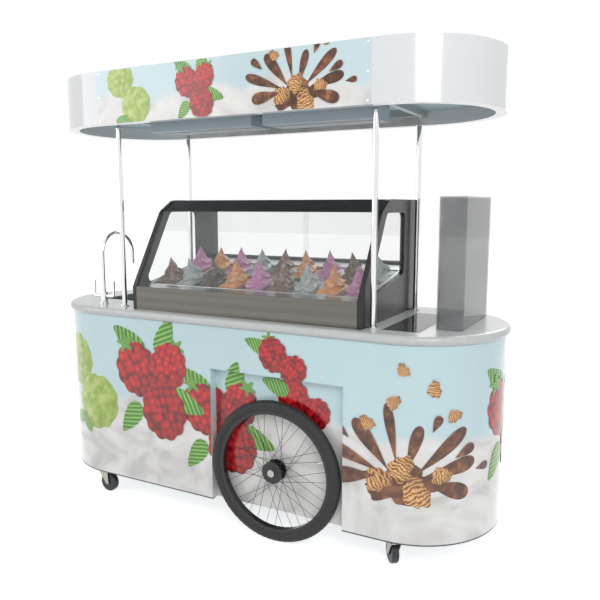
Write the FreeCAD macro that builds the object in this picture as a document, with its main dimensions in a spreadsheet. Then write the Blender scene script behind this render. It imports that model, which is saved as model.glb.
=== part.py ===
import FreeCAD, Part
import math
import os
import re
import Sketcher

# An ice cream cart: a long counter with rounded ends on two big spoked wheels and four
# casters, a glazed ice cream display, a sink with a tap, and a canopy on four posts.
# Frame: origin on the floor under the middle of the body, +X along the counter,
# -Y towards the customer, +Z up. All sizes are in millimetres, angles in degrees.

sizes = {
    # body: straight sides closed by half-round ends
    "straightHalf": 787,
    "endRadius": 391,
    "wall": 20,
    "trimHeight": 6,
    "floorThickness": 20,
    "counterUnderside": 970,
    "counterThickness": 40,
    "counterOverhang": 16,
    "nosingRadius": 19,
    # big spoked wheels and the bays that they stand in
    "wheelX": 260,
    "wheelRadius": 330,
    "tyreWidth": 50,
    "wheelProud": 20,
    "rimDepth": 22,
    "rimWidth": 30,
    "hubFlangeRadius": 50,
    "hubFlangeThickness": 6,
    "hubBarrelRadius": 30,
    "hubHalf": 26,
    "spokeRadius": 1,
    "spokePairs": 9,
    "spokeTurn": 60,
    "spindleRadius": 10,
    "spindleFit": 0.05,
    "axleNutRadius": 17,
    "axleNutLength": 6,
    "axleFlangeRadius": 45,
    "axleFlangeThickness": 5,
    "bayRoom": 9,
    "bayHeadroom": 109,
    "bayDepth": 43,
    "bayPlate": 10,
    "bayLip": 10,
    # casters
    "casterX": 820,
    "casterY": 333,
    "casterRadius": 50,
    "casterTrail": 25,
    "casterTread": 32,
    "casterHubRadius": 14,
    "endGap": 0.5,
    "casterSideRoom": 5,
    "casterAxleRadius": 5,
    "forkThickness": 3,
    "crownThickness": 5,
    "crownHalf": 24,
    "kingpinRadius": 7,
    "casterPlateHalf": 35,
    "casterPlateThickness": 6,
    # from the top of the caster rollers to the underside of the body
    "casterStack": 26,
    "bodyBottom": "=2 * casterRadius + casterStack",
    "casterBossRadius": 18,
    "bearingGap": 2,
    "runningFit": 0.05,
    "headingFrontLeft": 0,
    "headingFrontRight": 128,
    "headingRearLeft": 166,
    "headingRearRight": 52,
    # storage doors in the rear wall
    "doorwayLeft": -760,
    "doorwayRight": -112,
    "doorwayBottom": 166,
    "doorwayTop": 926,
    "doorThickness": 18,
    "doorGap": 5,
    "hingeStandoff": 8,
    "hingePinRadius": 3,
    "knuckleRadius": 6,
    "knuckleLength": 40,
    "hingeInset": 120,
    "hingeLeaf": 30,
    "leafThickness": 3,
    "earLength": 5,
    "earReach": 10,
    "handleLength": 140,
    "handleRadius": 6,
    "handleStandoff": 16,
    "handleInset": 35,
    # canopy posts and frame
    "postX": 687,
    "postY": 285,
    "postRadius": 13,
    "postFootRadius": 23,
    "postFootHeight": 6,
    "collarRadius": 18,
    "collarHeight": 10,
    "collarDrop": 33,
    "spigotRadius": 9,
    "frameTube": 30,
    # canopy
    "canopyStraightHalf": 743,
    "canopyRadius": 399,
    "canopyBottom": 1910,
    "canopyTop": 2159,
    "canopyRim": 48,
    "canopySkin": 12,
    "ceilingUnderside": 1975,
    "sheetThickness": 6,
    "fasciaHalf": 710,
    "lampLeftStart": -520,
    "lampLeftEnd": 65,
    "lampRightStart": 124,
    "lampRightEnd": 660,
    "lampFront": -240,
    "lampRear": -60,
    "lampDepth": 95,
    # glazed display on the counter
    "displayLeft": -570,
    "displayRight": 662,
    "displayFront": -351,
    "displayRear": 362,
    "displayHeight": 541,
    "kneeHeight": 115,
    "bendY": -130,
    "bendDrop": 58,
    "crestY": -30,
    "bendRadius": 70,
    "sideThickness": 22,
    "glassThickness": 6,
    "bandThickness": 20,
    "windowFront": -285,
    "windowRear": 170,
    "windowTopDrop": 61,
    "windowShoulderY": -67,
    "windowRadius": 30,
    "frontPanelThickness": 10,
    # sloped deck and the pans in it
    "deckAngle": 9.6,
    "deckThickness": 4,
    "deckEndGap": 0.5,
    "deckFrontDrop": 8.5,
    "panPitch": 131,
    "panColumns": 9,
    "panRows": 2,
    "panGap": 2,
    "panLength": 240,
    "panRowGap": 4,
    "panDepth": 100,
    "panWall": 1.5,
    "panRimWidth": 7,
    "panRimHeight": 2,
    "panFirst": 82,
    "slotRoom": 1,
    "iceGap": 0.3,
    "moundHeight": 66,
    "moundTop": 24,
    # rear frame and sliding doors of the display
    "rearSheet": 12,
    "railDepth": 40,
    "sillTop": 230,
    "railHeight": 24,
    "topRailHeight": 12,
    "grooveDepth": 6,
    "grooveRoom": 1,
    "slideSpacing": 17,
    "slideInset": 7,
    "slideOverlap": 40,
    "slideEndGap": 2,
    "slideRest": 0.3,
    # sink and tap
    "sinkLeft": -975,
    "sinkRight": -665,
    "sinkFront": -145,
    "sinkRear": 115,
    "sinkDepth": 150,
    "sinkWall": 3,
    "sinkRim": 10,
    "sinkCornerRadius": 40,
    "sinkCutRoom": 1,
    "drainRadius": 20,
    "tapX": -842,
    "tapY": -272,
    "tapBodyRadius": 20,
    "tapBodyHeight": 60,
    "tapFootRadius": 27,
    "tapFootHeight": 6,
    "leverReach": 66,
    "leverPipeRadius": 8,
    "leverPipeHeight": 40,
    "leverHeight": 80,
    "leverFootRadius": 6,
    "leverTopRadius": 10,
    "spoutRadius": 10,
    "spoutTop": 380,
    "spoutReach": 228,
    "spoutDrop": 60,
    "spigotDepth": 15,
    # glass panel let into the counter, clear cabinet beside it, cooling unit below
    "panelLeft": 732,
    "panelRight": 895,
    "panelFront": -300,
    "panelRear": 190,
    "panelThickness": 6,
    "cabinetLeft": 927,
    "cabinetRight": 1043,
    "cabinetFront": -200,
    "cabinetRear": 280,
    "cabinetHeight": 550,
    "cabinetWall": 5,
    "cabinetRadius": 28,
    "coolerLeft": 120,
    "coolerRight": 560,
    "coolerHalfDepth": 190,
    "coolerHeight": 330,
    # longer than anything it has to cut through
    "reach": 3000,
}

doc = FreeCAD.newDocument("IceCreamCart")
sheet = doc.addObject("Spreadsheet::Sheet", "Sizes")
for row, (alias, value) in enumerate(sizes.items(), 1):
    sheet.set(f"A{row}", alias)
    sheet.set(f"B{row}", str(value))
    sheet.setAlias(f"B{row}", alias)
doc.recompute()

nodes = []

# heights that many pieces share, as formulas of the sheet
wallBottom = "(bodyBottom + trimHeight)"
counterTop = "(counterUnderside + counterThickness)"
bayStart = "(wheelX - wheelRadius - bayRoom)"
bayEnd = "(wheelX + wheelRadius + bayRoom)"
bayTop = "(2 * wheelRadius + bayHeadroom)"
bayBack = "(endRadius - bayDepth)"
displayTop = f"({counterTop} + displayHeight)"
knee = f"({counterTop} + kneeHeight)"
displayInnerLeft = "(displayLeft + sideThickness)"
displayInnerRight = "(displayRight - sideThickness)"


def formula(text):
    # a formula with bare aliases, with the sheet's name put before each
    def withSheet(word):
        return "Sizes." + word.group() if word.group() in sizes else word.group()
    return re.sub(r"[A-Za-z]\w*", withSheet, str(text))


def bind(piece, **formulas):
    # ties properties to the sheet; a trailing X, Y or Z of "base" is the placement's
    for name, text in formulas.items():
        path = "Placement.Base." + name[-1].lower() if name.startswith("base") else name
        piece.setExpression(path, formula(text))
    return piece


def node(piece, label):
    # registers a finished sub-part under the name of its file
    piece.Label = label
    nodes.append(piece)
    return piece


def block(name, xSpan, ySpan, zSpan):
    piece = doc.addObject("Part::Box", name)
    bind(piece, baseX=xSpan[0], baseY=ySpan[0], baseZ=zSpan[0])
    bind(piece, Length=f"({xSpan[1]}) - ({xSpan[0]})")
    bind(piece, Width=f"({ySpan[1]}) - ({ySpan[0]})")
    bind(piece, Height=f"({zSpan[1]}) - ({zSpan[0]})")
    return piece


alongAxis = {
    "x": FreeCAD.Rotation(FreeCAD.Vector(0, 1, 0), 90),
    "y": FreeCAD.Rotation(FreeCAD.Vector(1, 0, 0), -90),
    "z": FreeCAD.Rotation(),
}


def rod(name, axis, start, radius, length):
    # a cylinder that runs from its start along a positive axis
    piece = doc.addObject("Part::Cylinder", name)
    piece.Placement.Rotation = alongAxis[axis]
    bind(piece, baseX=start[0], baseY=start[1], baseZ=start[2])
    bind(piece, Radius=radius, Height=length)
    return piece


def fuse(name, pieces):
    piece = doc.addObject("Part::MultiFuse", name)
    piece.Shapes = pieces
    piece.Refine = True
    return piece


def cut(name, base, *tools):
    for number, tool in enumerate(tools, 1):
        piece = doc.addObject("Part::Cut", name if number == len(tools) else f"{name}Step{number}")
        piece.Base = base
        piece.Tool = tool
        base = piece
    return base


def common(name, pieces):
    piece = doc.addObject("Part::MultiCommon", name)
    piece.Shapes = pieces
    return piece


def group(name, pieces):
    # like pieces that don't touch, kept as one sub-part
    piece = doc.addObject("Part::Compound", name)
    piece.Links = pieces
    return piece


def mirrored(name, source, normal):
    piece = doc.addObject("Part::Mirroring", name)
    piece.Source = source
    piece.Normal = normal
    return piece


def stadium(name, half, radius, zSpan):
    # a slab with straight sides and half-round ends
    height = f"({zSpan[1]}) - ({zSpan[0]})"
    middle = block(name + "Middle", (f"-({half})", half), (f"-({radius})", radius), zSpan)
    left = rod(name + "Left", "z", (f"-({half})", 0, zSpan[0]), radius, height)
    right = rod(name + "Right", "z", (half, 0, zSpan[0]), radius, height)
    return fuse(name, [middle, left, right])


def bodyOf(name):
    return doc.addObject("PartDesign::Body", name)


def originFeature(body, role):
    return next(f for f in body.Origin.OriginFeatures if f.Role == role)


def newSketch(body, name, plane):
    sketch = body.newObject("Sketcher::SketchObject", name)
    sketch.AttachmentSupport = [(originFeature(body, plane + "_Plane"), "")]
    sketch.MapMode = "FlatFace"
    return sketch


def dimension(sketch, kind, *places, text):
    # a driving dimension of a sketch, tied to the sheet
    number = sketch.addConstraint(Sketcher.Constraint(kind, *places, 1.0))
    sketch.setExpression(f"Constraints[{number}]", formula(text))


def polygonSketch(body, name, plane, corners):
    # a closed outline whose corners are given as pairs of formulas
    sketch = newSketch(body, name, plane)
    count = len(corners)
    for k in range(count):
        a = 2 * math.pi * k / count
        b = 2 * math.pi * (k + 1) / count
        start = FreeCAD.Vector(math.cos(a), math.sin(a), 0)
        end = FreeCAD.Vector(math.cos(b), math.sin(b), 0)
        sketch.addGeometry(Part.LineSegment(start, end), False)
    for k in range(count):
        sketch.addConstraint(Sketcher.Constraint("Coincident", k, 2, (k + 1) % count, 1))
    for k, (across, up) in enumerate(corners):
        dimension(sketch, "DistanceX", -1, 1, k, 1, text=across)
        dimension(sketch, "DistanceY", -1, 1, k, 1, text=up)
    return sketch


def stadiumSketch(body, name, half, radius):
    # two lines and two half circles, tangent all round
    sketch = newSketch(body, name, "XY")
    corner = FreeCAD.Vector(2, 1, 0)
    quarter = math.pi / 2
    up = FreeCAD.Vector(0, 0, 1)
    rightCircle = Part.Circle(FreeCAD.Vector(2, 0, 0), up, 1)
    leftCircle = Part.Circle(FreeCAD.Vector(-2, 0, 0), up, 1)
    sketch.addGeometry(Part.LineSegment(FreeCAD.Vector(-2, -1, 0), FreeCAD.Vector(2, -1, 0)), False)
    sketch.addGeometry(Part.ArcOfCircle(rightCircle, -quarter, quarter), False)
    sketch.addGeometry(Part.LineSegment(corner, FreeCAD.Vector(-2, 1, 0)), False)
    sketch.addGeometry(Part.ArcOfCircle(leftCircle, quarter, 3 * quarter), False)
    for k in range(4):
        sketch.addConstraint(Sketcher.Constraint("Tangent", k, 2, (k + 1) % 4, 1))
    for arc in (1, 3):
        sketch.addConstraint(Sketcher.Constraint("PointOnObject", arc, 3, -1))
    sketch.addConstraint(Sketcher.Constraint("Equal", 1, 3))
    dimension(sketch, "DistanceX", -1, 1, 1, 3, text=half)
    dimension(sketch, "DistanceX", 3, 3, -1, 1, text=half)
    dimension(sketch, "Radius", 1, text=radius)
    return sketch


def pad(body, name, sketch, length, symmetric=False):
    feature = body.newObject("PartDesign::Pad", name)
    feature.Profile = sketch
    if symmetric:
        feature.SideType = "Symmetric"
    bind(feature, Length=length)
    return feature


def pocket(body, name, sketch):
    # right through both ways
    feature = body.newObject("PartDesign::Pocket", name)
    feature.Profile = sketch
    feature.SideType = "Symmetric"
    bind(feature, Length="reach")
    return feature


def cornerEdges(feature, sketch, chosen=None):
    # names of the edges that stand on the sketch's corners, square to the sketch
    doc.recompute()
    normal = sketch.Placement.Rotation.multVec(FreeCAD.Vector(0, 0, 1))
    points = [sketch.Placement.multVec(line.StartPoint) for line in sketch.Geometry]
    if chosen is not None:
        points = [points[k] for k in chosen]
    names = []
    for number, edge in enumerate(feature.Shape.Edges, 1):
        if not isinstance(edge.Curve, Part.Line):
            continue
        if edge.Curve.Direction.cross(normal).Length > 1e-6:
            continue
        foot = edge.Vertexes[0].Point
        if any((foot - point).cross(normal).Length < 1e-3 for point in points):
            names.append(f"Edge{number}")
    return names


def roundEdges(body, name, feature, names, radius):
    rounded = body.newObject("PartDesign::Fillet", name)
    rounded.Base = (feature, names)
    bind(rounded, Radius=radius)
    return rounded


# ---- body walls, floor, bays and trim


def bodyWalls():
    wallSpan = (wallBottom, "counterUnderside")
    shell = cut("WallRing",
                stadium("WallOuter", "straightHalf", "endRadius", wallSpan),
                stadium("WallInner", "straightHalf", "endRadius - wall", wallSpan))
    leftSide = block("LeftOfStraight", ("-reach", "-straightHalf"), ("-reach", "reach"), (0, "reach"))
    rightSide = block("RightOfStraight", ("straightHalf", "reach"), ("-reach", "reach"), (0, "reach"))
    node(common("BodyEndLeft", [shell, leftSide]), "body_end_left")
    node(common("BodyEndRight", [shell, rightSide]), "body_end_right")
    spans = {
        "left": (("-straightHalf", bayStart), wallSpan),
        "over_bay": ((bayStart, bayEnd), (bayTop, "counterUnderside")),
        "right": ((bayEnd, "straightHalf"), wallSpan),
    }
    for place, (xSpan, zSpan) in spans.items():
        words = place.title().replace("_", "")
        front = ("-endRadius", "wall - endRadius")
        node(block("FrontPanel" + words, xSpan, front, zSpan), "front_panel_" + place)
        rear = ("endRadius - wall", "endRadius")
        panel = block("RearPanel" + words, xSpan, rear, zSpan)
        if place == "left":
            panel = rearPanelWithDoorway(panel)
        node(panel, "rear_panel_" + place)


def hingeHeights():
    low = "(doorwayBottom + hingeInset)"
    high = "(doorwayTop - hingeInset - knuckleLength)"
    return {"Low": low, "High": high}


def rearPanelWithDoorway(panel):
    # the doorway, with the fixed hinge pins held between ears on each jamb
    doorway = block("Doorway", ("doorwayLeft", "doorwayRight"), ("0", "reach"),
                    ("doorwayBottom", "doorwayTop"))
    framed = cut("RearPanelOpened", panel, doorway)
    pieces = [framed]
    ears = {
        "Left": ("doorwayLeft", ("doorwayLeft - earReach", "doorwayLeft + hingePinRadius")),
        "Right": ("doorwayRight", ("doorwayRight - hingePinRadius", "doorwayRight + earReach")),
    }
    ySpan = ("endRadius", "endRadius + hingeStandoff + hingePinRadius")
    for side, (jamb, earSpan) in ears.items():
        for level, z in hingeHeights().items():
            name = side + level
            pin = rod("HingePin" + name, "z", (jamb, "endRadius + hingeStandoff", f"{z} - earLength"),
                      "hingePinRadius", "knuckleLength + 2 * earLength")
            lower = block("EarLower" + name, earSpan, ySpan, (f"{z} - earLength", f"{z} - endGap"))
            top = f"{z} + knuckleLength"
            upper = block("EarUpper" + name, earSpan, ySpan, (f"{top} + endGap", f"{top} + earLength"))
            pieces += [pin, lower, upper]
    return fuse("RearPanelWithDoorway", pieces)


def bays():
    outer = block("BayOuter", (f"{bayStart} - bayLip", f"{bayEnd} + bayLip"),
                  ("wall - endRadius", f"bayPlate - {bayBack}"),
                  ("bodyBottom", f"{bayTop} + bayLip"))
    hollow = block("BayHollow", (bayStart, bayEnd), ("-reach", f"-{bayBack}"), ("0", bayTop))
    tray = cut("BayFront", outer, hollow)
    node(tray, "wheel_bay_front")
    node(mirrored("BayRear", tray, (0, 1, 0)), "wheel_bay_rear")
    floorSpan = ("bodyBottom", "bodyBottom + floorThickness")
    plate = stadium("FloorPlate", "straightHalf", "endRadius - wall", floorSpan)
    floor = cut("Floor", plate, outer, mirrored("BayOuterRear", outer, (0, 1, 0)))
    node(floor, "body_floor")
    trimSpan = ("bodyBottom", wallBottom)
    ring = cut("TrimRing",
               stadium("TrimOuter", "straightHalf", "endRadius", trimSpan),
               stadium("TrimInner", "straightHalf", "endRadius - wall", trimSpan))
    between = block("TrimBreak", (bayStart, bayEnd), ("-reach", "reach"), ("0", "reach"))
    node(cut("Trim", ring, between), "base_trim")


# ---- big wheels


def spokes():
    # two fans a side: each spoke leaves the hub flange nearly at a tangent, and the leading
    # fan lies beside the trailing one, so that no two touch
    hole = sheet.hubFlangeRadius - 5
    rim = sheet.wheelRadius - sheet.tyreWidth * 0.8 - sheet.rimDepth + 3
    flange = sheet.hubHalf - sheet.hubFlangeThickness / 2 - 2
    fanOffset = sheet.hubFlangeThickness / 2 - sheet.spokeRadius
    step = 360 / sheet.spokePairs
    solids = []
    for side in (-1, 1):
        for fan in (-1, 1):
            for k in range(int(sheet.spokePairs)):
                hubAngle = math.radians(step * (k + 0.25 * (fan + 1) + 0.125 * (side + 1)))
                rimAngle = hubAngle + math.radians(fan * sheet.spokeTurn)
                start = FreeCAD.Vector(hole * math.cos(hubAngle), side * flange + fan * fanOffset,
                                       hole * math.sin(hubAngle))
                end = FreeCAD.Vector(rim * math.cos(rimAngle), side * 2, rim * math.sin(rimAngle))
                run = end - start
                solids.append(Part.makeCylinder(sheet.spokeRadius, run.Length, start, run))
    lacing = doc.addObject("Part::Feature", "Lacing")
    lacing.Shape = Part.makeCompound(solids)
    return lacing


def wheels():
    planeY = "(endRadius + wheelProud - tyreWidth / 2)"
    tyre = doc.addObject("Part::Torus", "TyreFront")
    tyre.Placement.Rotation = alongAxis["y"]
    bind(tyre, baseX="wheelX", baseY=f"-{planeY}", baseZ="wheelRadius")
    bind(tyre, Radius1="wheelRadius - tyreWidth / 2", Radius2="tyreWidth / 2")
    node(tyre, "tyre_front")
    node(mirrored("TyreRear", tyre, (0, 1, 0)), "tyre_rear")

    def disc(name, radius, half):
        return rod(name, "y", ("wheelX", f"-{planeY} - ({half})", "wheelRadius"), radius, f"2 * ({half})")

    band = cut("Rim", disc("RimBand", "wheelRadius - tyreWidth * 0.8", "rimWidth / 2"),
               disc("RimHollow", "wheelRadius - tyreWidth * 0.8 - rimDepth", "rimWidth"), tyre)
    barrel = disc("HubBarrel", "hubBarrelRadius", "hubHalf")
    flanges = [
        rod(f"HubFlange{name}", "y", ("wheelX", f"-{planeY} + {start}", "wheelRadius"),
            "hubFlangeRadius", "hubFlangeThickness")
        for name, start in (("Outer", "(2 - hubHalf)"), ("Inner", "(hubHalf - 2 - hubFlangeThickness)"))
    ]
    lacing = spokes()
    lacing.Placement.Base = FreeCAD.Vector(0, 0, 0)
    bind(lacing, baseX="wheelX", baseY=f"-{planeY}", baseZ="wheelRadius")
    laced = fuse("WheelLaced", [band, barrel, *flanges, lacing])
    wheel = cut("WheelFront", laced, disc("HubBore", "spindleRadius + spindleFit", "hubHalf + 5"))
    node(wheel, "spoked_wheel_front")
    node(mirrored("WheelRear", wheel, (0, 1, 0)), "spoked_wheel_rear")

    back = f"(-{bayBack})"
    nutEnd = f"(-{planeY} - hubHalf - endGap)"
    axle = fuse("AxleFront", [
        rod("AxleFlange", "y", ("wheelX", f"{back} - axleFlangeThickness", "wheelRadius"),
            "axleFlangeRadius", "axleFlangeThickness"),
        rod("Spindle", "y", ("wheelX", nutEnd, "wheelRadius"), "spindleRadius", f"{back} - {nutEnd}"),
        rod("AxleNut", "y", ("wheelX", f"{nutEnd} - axleNutLength", "wheelRadius"),
            "axleNutRadius", "axleNutLength"),
    ])
    node(group("Axles", [axle, mirrored("AxleRear", axle, (0, 1, 0))]), "wheel_axles")


# ---- casters


crownTop = "(2 * casterRadius + casterSideRoom + crownThickness)"


def casterPlate(name, x, y):
    plateBottom = "(bodyBottom - casterPlateThickness)"
    bossLength = f"({plateBottom} - bearingGap - {crownTop})"
    plate = block(name + "Sheet", (f"{x} - casterPlateHalf", f"{x} + casterPlateHalf"),
                  (f"{y} - casterPlateHalf", f"{y} + casterPlateHalf"), (plateBottom, "bodyBottom"))
    boss = rod(name + "Boss", "z", (x, y, f"{plateBottom} - {bossLength}"), "casterBossRadius", bossLength)
    bore = rod(name + "Bore", "z", (x, y, 0), "kingpinRadius + runningFit", "bodyBottom")
    return cut(name, fuse(name + "Solid", [plate, boss]), bore)


def stand(body, x, y, heading):
    # sets a caster piece, made about its own swivel axis, in its place
    bind(body, baseX=x, baseY=y)
    body.Placement.Rotation = FreeCAD.Rotation(FreeCAD.Vector(0, 0, 1), 1)
    body.setExpression("Placement.Rotation.Angle", formula(heading))
    return body


def primitive(body, kind, name, **formulas):
    feature = body.newObject("PartDesign::" + kind, name)
    bind(feature, **formulas)
    return feature


def casterFork(name, x, y, heading):
    outerHalf = "(casterTread / 2 + casterSideRoom + forkThickness)"
    body = bodyOf(name)
    legs = polygonSketch(body, name + "Outline", "XZ", [
        ("-crownHalf", crownTop),
        ("-crownHalf", "2 * casterRadius + casterSideRoom"),
        ("casterTrail - 2 * casterAxleRadius", "casterRadius - casterAxleRadius"),
        ("casterTrail", "casterRadius - 2 * casterAxleRadius"),
        ("casterTrail + 2 * casterAxleRadius", "casterRadius - casterAxleRadius"),
        ("crownHalf + casterAxleRadius", crownTop),
    ])
    pad(body, name + "Legs", legs, f"2 * {outerHalf}", symmetric=True)
    primitive(body, "SubtractiveBox", name + "Gap", baseX="-crownHalf - casterRadius",
              baseY=f"forkThickness - {outerHalf}", baseZ=0, Length="4 * casterRadius",
              Width=f"2 * ({outerHalf} - forkThickness)", Height="2 * casterRadius + casterSideRoom")
    axle = primitive(body, "AdditiveCylinder", name + "Axle", Radius="casterAxleRadius",
                     Height=f"2 * {outerHalf}")
    axle.Placement.Rotation = alongAxis["y"]
    bind(axle, baseX="casterTrail", baseY=f"-{outerHalf}", baseZ="casterRadius")
    primitive(body, "AdditiveCylinder", name + "Kingpin", baseZ=crownTop, Radius="kingpinRadius",
              Height=f"bodyBottom - 1 - {crownTop}")
    return stand(body, x, y, heading)


def casterWheel(name, x, y, heading):
    body = bodyOf(name)
    hubHalf = "(casterTread / 2 + casterSideRoom - endGap)"
    for part, kind, radius, half in (
            ("Tread", "AdditiveCylinder", "casterRadius", "casterTread / 2"),
            ("Hub", "AdditiveCylinder", "casterHubRadius", hubHalf),
            ("Bore", "SubtractiveCylinder", "casterAxleRadius + runningFit", "casterTread")):
        feature = primitive(body, kind, name + part, Radius=radius, Height=f"2 * ({half})")
        feature.Placement.Rotation = alongAxis["y"]
        bind(feature, baseX="casterTrail", baseY=f"-({half})", baseZ="casterRadius")
        if part == "Tread":
            doc.recompute()
            rims = [f"Edge{k}" for k, edge in enumerate(feature.Shape.Edges, 1)
                    if isinstance(edge.Curve, Part.Circle)]
            roundEdges(body, name + "Shoulder", feature, rims, "casterTread / 5")
    return stand(body, x, y, heading)


def casters():
    plates = []
    for along, signX in (("left", "-"), ("right", "")):
        for across, signY in (("front", "-"), ("rear", "")):
            corner = f"{across}_{along}"
            words = (across + " " + along).title().replace(" ", "")
            spot = (f"({signX}casterX)", f"({signY}casterY)")
            plates.append(casterPlate("CasterPlate" + words, *spot))
            node(casterFork("Fork" + words, *spot, "heading" + words), "caster_fork_" + corner)
            node(casterWheel("Caster" + words, *spot, "heading" + words), "caster_wheel_" + corner)
    node(group("CasterPlates", plates), "caster_plates")


# ---- storage doors


def storageDoors():
    middle = "((doorwayLeft + doorwayRight) / 2)"
    face = ("endRadius - doorThickness", "endRadius")
    zSpan = ("doorwayBottom + doorGap", "doorwayTop - doorGap")
    height = f"(({zSpan[0]} + {zSpan[1]}) / 2)"
    for side, jamb, inward in (("Left", "doorwayLeft", 1), ("Right", "doorwayRight", -1)):
        def span(low, high):
            # from the jamb inwards, written so that the lower end comes first
            ends = (f"{jamb} + ({inward}) * ({low})", f"{jamb} + ({inward}) * ({high})")
            return ends if inward > 0 else ends[::-1]
        width = f"({middle} - doorwayLeft - doorGap / 2)"
        pieces = [block(side + "DoorSlab", span("doorGap", width), face, zSpan)]
        for level, z in hingeHeights().items():
            name = side + level
            pieces.append(rod("Knuckle" + name, "z", (jamb, "endRadius + hingeStandoff", z),
                              "knuckleRadius", "knuckleLength"))
            pieces.append(block("Leaf" + name, span("0", "hingeLeaf"),
                                ("endRadius", "endRadius + leafThickness"), (z, f"{z} + knuckleLength")))
        gripX = f"({jamb} + ({inward}) * ({width} - handleInset))"
        gripBottom = f"({height} - handleLength / 2)"
        pieces.append(rod(side + "Grip", "z", (gripX, "endRadius + handleStandoff", gripBottom),
                          "handleRadius", "handleLength"))
        for level, shift in (("Low", "handleLength * 0.15"), ("High", "handleLength * 0.85")):
            pieces.append(rod(side + "GripFoot" + level, "y",
                              (gripX, "endRadius", f"{gripBottom} + {shift}"),
                              "handleRadius * 0.8", "handleStandoff"))
        solid = fuse(side + "DoorSolid", pieces)
        bore = rod(side + "HingeBore", "z", (jamb, "endRadius + hingeStandoff", 0),
                   "hingePinRadius + runningFit", "reach")
        node(cut(side + "Door", solid, bore), f"storage_door_{side.lower()}")


# ---- counter, sink, tap, glass panel and clear cabinet


def counter():
    body = bodyOf("Counter")
    outline = stadiumSketch(body, "CounterOutline", "straightHalf", "endRadius + counterOverhang")
    slab = pad(body, "CounterSlab", outline, "counterThickness")
    doc.recompute()
    around = [f"Edge{k}" for k, edge in enumerate(slab.Shape.Edges, 1)
              if abs(edge.BoundBox.ZLength) < 1e-6]
    roundEdges(body, "Nosing", slab, around, "nosingRadius")
    bind(body, baseZ="counterUnderside")
    node(cut("Countertop", body, sinkBlock("SinkCut", "sinkCutRoom", ("0", "reach")),
             block("PanelRecess", ("panelLeft", "panelRight"), ("panelFront", "panelRear"),
                   (f"{counterTop} - panelThickness", "reach"))), "countertop")
    node(block("GlassPanel", ("panelLeft", "panelRight"), ("panelFront", "panelRear"),
               (f"{counterTop} - panelThickness", counterTop)), "counter_glass_panel")


def sinkBlock(name, room, zSpan):
    # the sink's outline, grown all round, with rounded corners
    body = bodyOf(name)
    x = (f"sinkLeft - ({room})", f"sinkRight + ({room})")
    y = (f"sinkFront - ({room})", f"sinkRear + ({room})")
    outline = polygonSketch(body, name + "Outline", "XY",
                            [(x[0], y[0]), (x[1], y[0]), (x[1], y[1]), (x[0], y[1])])
    slab = pad(body, name + "Pad", outline, f"({zSpan[1]}) - ({zSpan[0]})")
    roundEdges(body, name + "Corners", slab, cornerEdges(slab, outline), f"sinkCornerRadius + ({room})")
    return bind(body, baseZ=zSpan[0])


def sink():
    low = f"{counterTop} - sinkDepth"
    bowl = sinkBlock("SinkOuter", "0", (low, counterTop))
    rim = sinkBlock("SinkRim", "sinkRim", (counterTop, f"{counterTop} + sinkWall / 2"))
    hollow = sinkBlock("SinkHollow", "-sinkWall", (f"{low} + sinkWall", f"{counterTop} + 2 * sinkWall"))
    drain = rod("Drain", "z", ("(sinkLeft + sinkRight) / 2", "(sinkFront + sinkRear) / 2", 0),
                "drainRadius", "reach / 2")
    node(cut("SinkBowl", fuse("SinkSolid", [bowl, rim]), hollow, drain), "sink_bowl")


def tap():
    top = f"({counterTop} + tapBodyHeight)"
    pieces = [
        rod("TapFoot", "z", ("tapX", "tapY", counterTop), "tapFootRadius", "tapFootHeight"),
        rod("TapBody", "z", ("tapX", "tapY", counterTop), "tapBodyRadius", "tapBodyHeight"),
        rod("LeverPipe", "x", ("tapX - leverReach", "tapY", f"{counterTop} + leverPipeHeight"),
            "leverPipeRadius", "2 * leverReach"),
    ]
    for side, sign in (("Left", -1), ("Right", 1)):
        lever = doc.addObject("Part::Cone", "Lever" + side)
        bind(lever, baseX=f"tapX + ({sign}) * leverReach", baseY="tapY",
             baseZ=f"{counterTop} + leverPipeHeight", Radius1="leverFootRadius",
             Radius2="leverTopRadius", Height="leverHeight")
        pieces.append(lever)
    socket = rod("TapSocket", "z", ("tapX", "tapY", f"{top} - spigotDepth - 1"),
                 "spoutRadius - 2 + runningFit", "reach")
    node(cut("TapBase", fuse("TapSolid", pieces), socket), "tap_base")

    start = f"({top} + endGap)"
    bendZ = f"({counterTop} + spoutTop - spoutRadius - spoutReach / 2)"
    bend = doc.addObject("Part::Torus", "SpoutBend")
    bend.Placement.Rotation = FreeCAD.Rotation(FreeCAD.Vector(1, 1, 1), 120)
    bind(bend, baseX="tapX", baseY="tapY + spoutReach / 2", baseZ=bendZ)
    bind(bend, Radius1="spoutReach / 2", Radius2="spoutRadius", Angle3="180")
    spout = fuse("Spout", [
        rod("SpoutSpigot", "z", ("tapX", "tapY", f"{top} - spigotDepth"), "spoutRadius - 2", "2 * spigotDepth"),
        rod("SpoutRiser", "z", ("tapX", "tapY", start), "spoutRadius", f"{bendZ} - {start}"),
        bend,
        rod("SpoutOutlet", "z", ("tapX", "tapY + spoutReach", f"{bendZ} - spoutDrop"),
            "spoutRadius", "spoutDrop"),
    ])
    node(spout, "tap_spout")


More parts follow.
